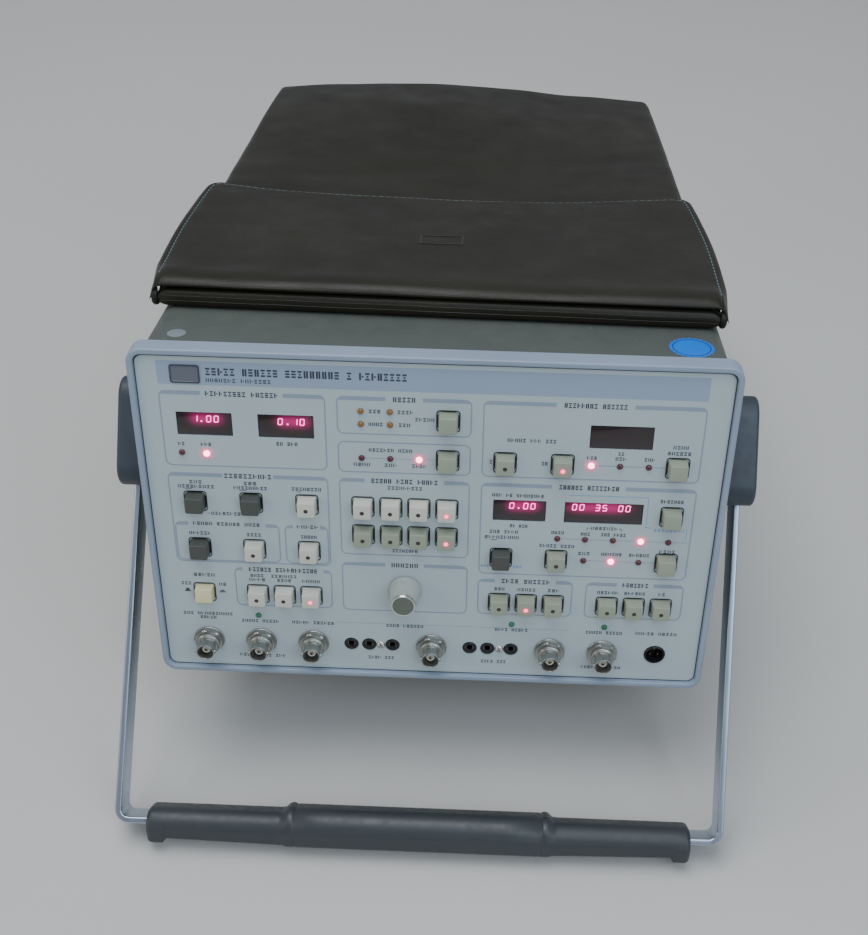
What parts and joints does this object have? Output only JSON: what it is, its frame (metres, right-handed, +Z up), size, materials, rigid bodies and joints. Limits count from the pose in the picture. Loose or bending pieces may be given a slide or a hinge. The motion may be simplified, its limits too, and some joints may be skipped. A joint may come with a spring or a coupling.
{
  "type": "electronic test instrument",
  "caption": "Bench test instrument with push buttons, displays and coaxial sockets on its front, tilted on its bail handle, with a vinyl accessory pouch on top.",
  "frame": {"origin": "floor level under the middle of the bounding box, with the instrument tilted back on its bail handle and rear feet", "axes": "+Z up; -Y the way the front panel faces; +X to the right of someone facing the front panel"},
  "size_m": [0.3372, 0.5306, 0.2711],
  "materials": {
    "bezel": "satin",
    "panel": "satin",
    "cover": "satin",
    "vinyl": "satin",
    "dark_plastic": "satin",
    "strap_metal": "satin",
    "nickel": "satin",
    "knob_grey": "satin",
    "key_grey": "satin",
    "key_white": "satin",
    "key_dark": "satin",
    "key_cream": "satin",
    "black_plastic": "satin",
    "board": "satin",
    "steel": "satin"
  },
  "bodies": {
    "chassis": {"balanced_input_socket": "black_plastic", "balanced_output_socket": "black_plastic", "bottom_cover": "cover", "coaxial_connector_1": "nickel", "coaxial_connector_2": "nickel", "coaxial_connector_3": "nickel", "coaxial_connector_4": "nickel", "coaxial_connector_5": "nickel", "coaxial_connector_6": "nickel", "display_board": "board", "front_bezel": "bezel", "front_panel": "panel", "handle_mount_left": "dark_plastic", "handle_mount_right": "dark_plastic", "knob_encoder": "steel", "main_board": "board", "mains_transformer": "steel", "pouch_body": "vinyl", "probe_power_jack": "black_plastic", "rear_panel": "bezel", "top_cover": "cover"},
    "handle": {"handle_hub_left": "dark_plastic", "handle_hub_right": "dark_plastic", "handle_strap": "strap_metal", "handle_grip": "dark_plastic"},
    "flap": {"pouch_flap": "vinyl"},
    "knob_body": {"knob": "knob_grey"},
    "key_apply_1": {"button_apply_1": "key_white"},
    "key_apply_2": {"button_apply_2": "key_white"},
    "key_apply_3": {"button_apply_3": "key_white"},
    "key_auto": {"button_auto": "key_white"},
    "key_display": {"button_display": "key_grey"},
    "key_display_rate": {"button_display_rate": "key_grey"},
    "key_external": {"button_external": "key_white"},
    "key_external_clock": {"button_external_clock": "key_white"},
    "key_filter_1": {"button_filter_1": "key_grey"},
    "key_filter_2": {"button_filter_2": "key_grey"},
    "key_filter_3": {"button_filter_3": "key_grey"},
    "key_format_1": {"button_format_1": "key_grey"},
    "key_format_2": {"button_format_2": "key_grey"},
    "key_format_3": {"button_format_3": "key_grey"},
    "key_generator_1": {"button_generator_1": "key_white"},
    "key_generator_2": {"button_generator_2": "key_white"},
    "key_generator_3": {"button_generator_3": "key_white"},
    "key_generator_4": {"button_generator_4": "key_white"},
    "key_local": {"button_local": "key_grey"},
    "key_manual": {"button_manual": "key_dark"},
    "key_mode": {"button_mode": "key_grey"},
    "key_peak_select": {"button_peak_select": "key_grey"},
    "key_power": {"button_power": "key_cream"},
    "key_range_high": {"button_range_high": "key_grey"},
    "key_range_low": {"button_range_low": "key_grey"},
    "key_receiver_1": {"button_receiver_1": "key_grey"},
    "key_receiver_2": {"button_receiver_2": "key_grey"},
    "key_receiver_3": {"button_receiver_3": "key_grey"},
    "key_receiver_4": {"button_receiver_4": "key_grey"},
    "key_set_amplitude": {"button_set_amplitude": "key_dark"},
    "key_set_frequency": {"button_set_frequency": "key_dark"},
    "key_start_stop": {"button_start_stop": "key_grey"},
    "key_threshold": {"button_threshold": "key_dark"}
  },
  "joints": [
    {"name": "handle_hinge", "type": "hinge", "parent": "chassis", "child": "handle", "pos_m": [0.00114, -0.11862, 0.17996], "axis": [1, 0, 0], "range_deg": [-200, 75]},
    {"name": "flap_hinge", "type": "hinge", "parent": "chassis", "child": "flap", "pos_m": [0.00114, -0.11317, 0.26798], "axis": [1, 0, 0], "range_deg": [0, 150]},
    {"name": "knob_turn", "type": "hinge", "parent": "chassis", "child": "knob_body", "pos_m": [-0.01315, -0.18435, 0.13073], "axis": [0, 0.986, -0.1668], "continuous": true},
    {"name": "press_apply_1", "type": "slide", "parent": "chassis", "child": "key_apply_1", "axis": [0, 0.986, -0.1668], "range_m": [0, 0.003], "stiffness_N_per_m": 400, "springref_m": -0.0005},
    {"name": "press_apply_2", "type": "slide", "parent": "chassis", "child": "key_apply_2", "axis": [0, 0.986, -0.1668], "range_m": [0, 0.003], "stiffness_N_per_m": 400, "springref_m": -0.0005},
    {"name": "press_apply_3", "type": "slide", "parent": "chassis", "child": "key_apply_3", "axis": [0, 0.986, -0.1668], "range_m": [0, 0.003], "stiffness_N_per_m": 400, "springref_m": -0.0005},
    {"name": "press_auto", "type": "slide", "parent": "chassis", "child": "key_auto", "axis": [0, 0.986, -0.1668], "range_m": [0, 0.003], "stiffness_N_per_m": 400, "springref_m": -0.0005},
    {"name": "press_display", "type": "slide", "parent": "chassis", "child": "key_display", "axis": [0, 0.986, -0.1668], "range_m": [0, 0.003], "stiffness_N_per_m": 400, "springref_m": -0.0005},
    {"name": "press_display_rate", "type": "slide", "parent": "chassis", "child": "key_display_rate", "axis": [0, 0.986, -0.1668], "range_m": [0, 0.003], "stiffness_N_per_m": 400, "springref_m": -0.0005},
    {"name": "press_external", "type": "slide", "parent": "chassis", "child": "key_external", "axis": [0, 0.986, -0.1668], "range_m": [0, 0.003], "stiffness_N_per_m": 400, "springref_m": -0.0005},
    {"name": "press_external_clock", "type": "slide", "parent": "chassis", "child": "key_external_clock", "axis": [0, 0.986, -0.1668], "range_m": [0, 0.003], "stiffness_N_per_m": 400, "springref_m": -0.0005},
    {"name": "press_filter_1", "type": "slide", "parent": "chassis", "child": "key_filter_1", "axis": [0, 0.986, -0.1668], "range_m": [0, 0.003], "stiffness_N_per_m": 400, "springref_m": -0.0005},
    {"name": "press_filter_2", "type": "slide", "parent": "chassis", "child": "key_filter_2", "axis": [0, 0.986, -0.1668], "range_m": [0, 0.003], "stiffness_N_per_m": 400, "springref_m": -0.0005},
    {"name": "press_filter_3", "type": "slide", "parent": "chassis", "child": "key_filter_3", "axis": [0, 0.986, -0.1668], "range_m": [0, 0.003], "stiffness_N_per_m": 400, "springref_m": -0.0005},
    {"name": "press_format_1", "type": "slide", "parent": "chassis", "child": "key_format_1", "axis": [0, 0.986, -0.1668], "range_m": [0, 0.003], "stiffness_N_per_m": 400, "springref_m": -0.0005},
    {"name": "press_format_2", "type": "slide", "parent": "chassis", "child": "key_format_2", "axis": [0, 0.986, -0.1668], "range_m": [0, 0.003], "stiffness_N_per_m": 400, "springref_m": -0.0005},
    {"name": "press_format_3", "type": "slide", "parent": "chassis", "child": "key_format_3", "axis": [0, 0.986, -0.1668], "range_m": [0, 0.003], "stiffness_N_per_m": 400, "springref_m": -0.0005},
    {"name": "press_generator_1", "type": "slide", "parent": "chassis", "child": "key_generator_1", "axis": [0, 0.986, -0.1668], "range_m": [0, 0.003], "stiffness_N_per_m": 400, "springref_m": -0.0005},
    {"name": "press_generator_2", "type": "slide", "parent": "chassis", "child": "key_generator_2", "axis": [0, 0.986, -0.1668], "range_m": [0, 0.003], "stiffness_N_per_m": 400, "springref_m": -0.0005},
    {"name": "press_generator_3", "type": "slide", "parent": "chassis", "child": "key_generator_3", "axis": [0, 0.986, -0.1668], "range_m": [0, 0.003], "stiffness_N_per_m": 400, "springref_m": -0.0005},
    {"name": "press_generator_4", "type": "slide", "parent": "chassis", "child": "key_generator_4", "axis": [0, 0.986, -0.1668], "range_m": [0, 0.003], "stiffness_N_per_m": 400, "springref_m": -0.0005},
    {"name": "press_local", "type": "slide", "parent": "chassis", "child": "key_local", "axis": [0, 0.986, -0.1668], "range_m": [0, 0.003], "stiffness_N_per_m": 400, "springref_m": -0.0005},
    {"name": "press_manual", "type": "slide", "parent": "chassis", "child": "key_manual", "axis": [0, 0.986, -0.1668], "range_m": [0, 0.003], "stiffness_N_per_m": 400, "springref_m": -0.0005},
    {"name": "press_mode", "type": "slide", "parent": "chassis", "child": "key_mode", "axis": [0, 0.986, -0.1668], "range_m": [0, 0.003], "stiffness_N_per_m": 400, "springref_m": -0.0005},
    {"name": "press_peak_select", "type": "slide", "parent": "chassis", "child": "key_peak_select", "axis": [0, 0.986, -0.1668], "range_m": [0, 0.003], "stiffness_N_per_m": 400, "springref_m": -0.0005},
    {"name": "press_power", "type": "slide", "parent": "chassis", "child": "key_power", "axis": [0, 0.986, -0.1668], "range_m": [0, 0.003], "stiffness_N_per_m": 400, "springref_m": -0.0005},
    {"name": "press_range_high", "type": "slide", "parent": "chassis", "child": "key_range_high", "axis": [0, 0.986, -0.1668], "range_m": [0, 0.003], "stiffness_N_per_m": 400, "springref_m": -0.0005},
    {"name": "press_range_low", "type": "slide", "parent": "chassis", "child": "key_range_low", "axis": [0, 0.986, -0.1668], "range_m": [0, 0.003], "stiffness_N_per_m": 400, "springref_m": -0.0005},
    {"name": "press_receiver_1", "type": "slide", "parent": "chassis", "child": "key_receiver_1", "axis": [0, 0.986, -0.1668], "range_m": [0, 0.003], "stiffness_N_per_m": 400, "springref_m": -0.0005},
    {"name": "press_receiver_2", "type": "slide", "parent": "chassis", "child": "key_receiver_2", "axis": [0, 0.986, -0.1668], "range_m": [0, 0.003], "stiffness_N_per_m": 400, "springref_m": -0.0005},
    {"name": "press_receiver_3", "type": "slide", "parent": "chassis", "child": "key_receiver_3", "axis": [0, 0.986, -0.1668], "range_m": [0, 0.003], "stiffness_N_per_m": 400, "springref_m": -0.0005},
    {"name": "press_receiver_4", "type": "slide", "parent": "chassis", "child": "key_receiver_4", "axis": [0, 0.986, -0.1668], "range_m": [0, 0.003], "stiffness_N_per_m": 400, "springref_m": -0.0005},
    {"name": "press_set_amplitude", "type": "slide", "parent": "chassis", "child": "key_set_amplitude", "axis": [0, 0.986, -0.1668], "range_m": [0, 0.003], "stiffness_N_per_m": 400, "springref_m": -0.0005},
    {"name": "press_set_frequency", "type": "slide", "parent": "chassis", "child": "key_set_frequency", "axis": [0, 0.986, -0.1668], "range_m": [0, 0.003], "stiffness_N_per_m": 400, "springref_m": -0.0005},
    {"name": "press_start_stop", "type": "slide", "parent": "chassis", "child": "key_start_stop", "axis": [0, 0.986, -0.1668], "range_m": [0, 0.003], "stiffness_N_per_m": 400, "springref_m": -0.0005},
    {"name": "press_threshold", "type": "slide", "parent": "chassis", "child": "key_threshold", "axis": [0, 0.986, -0.1668], "range_m": [0, 0.003], "stiffness_N_per_m": 400, "springref_m": -0.0005}
  ]
}
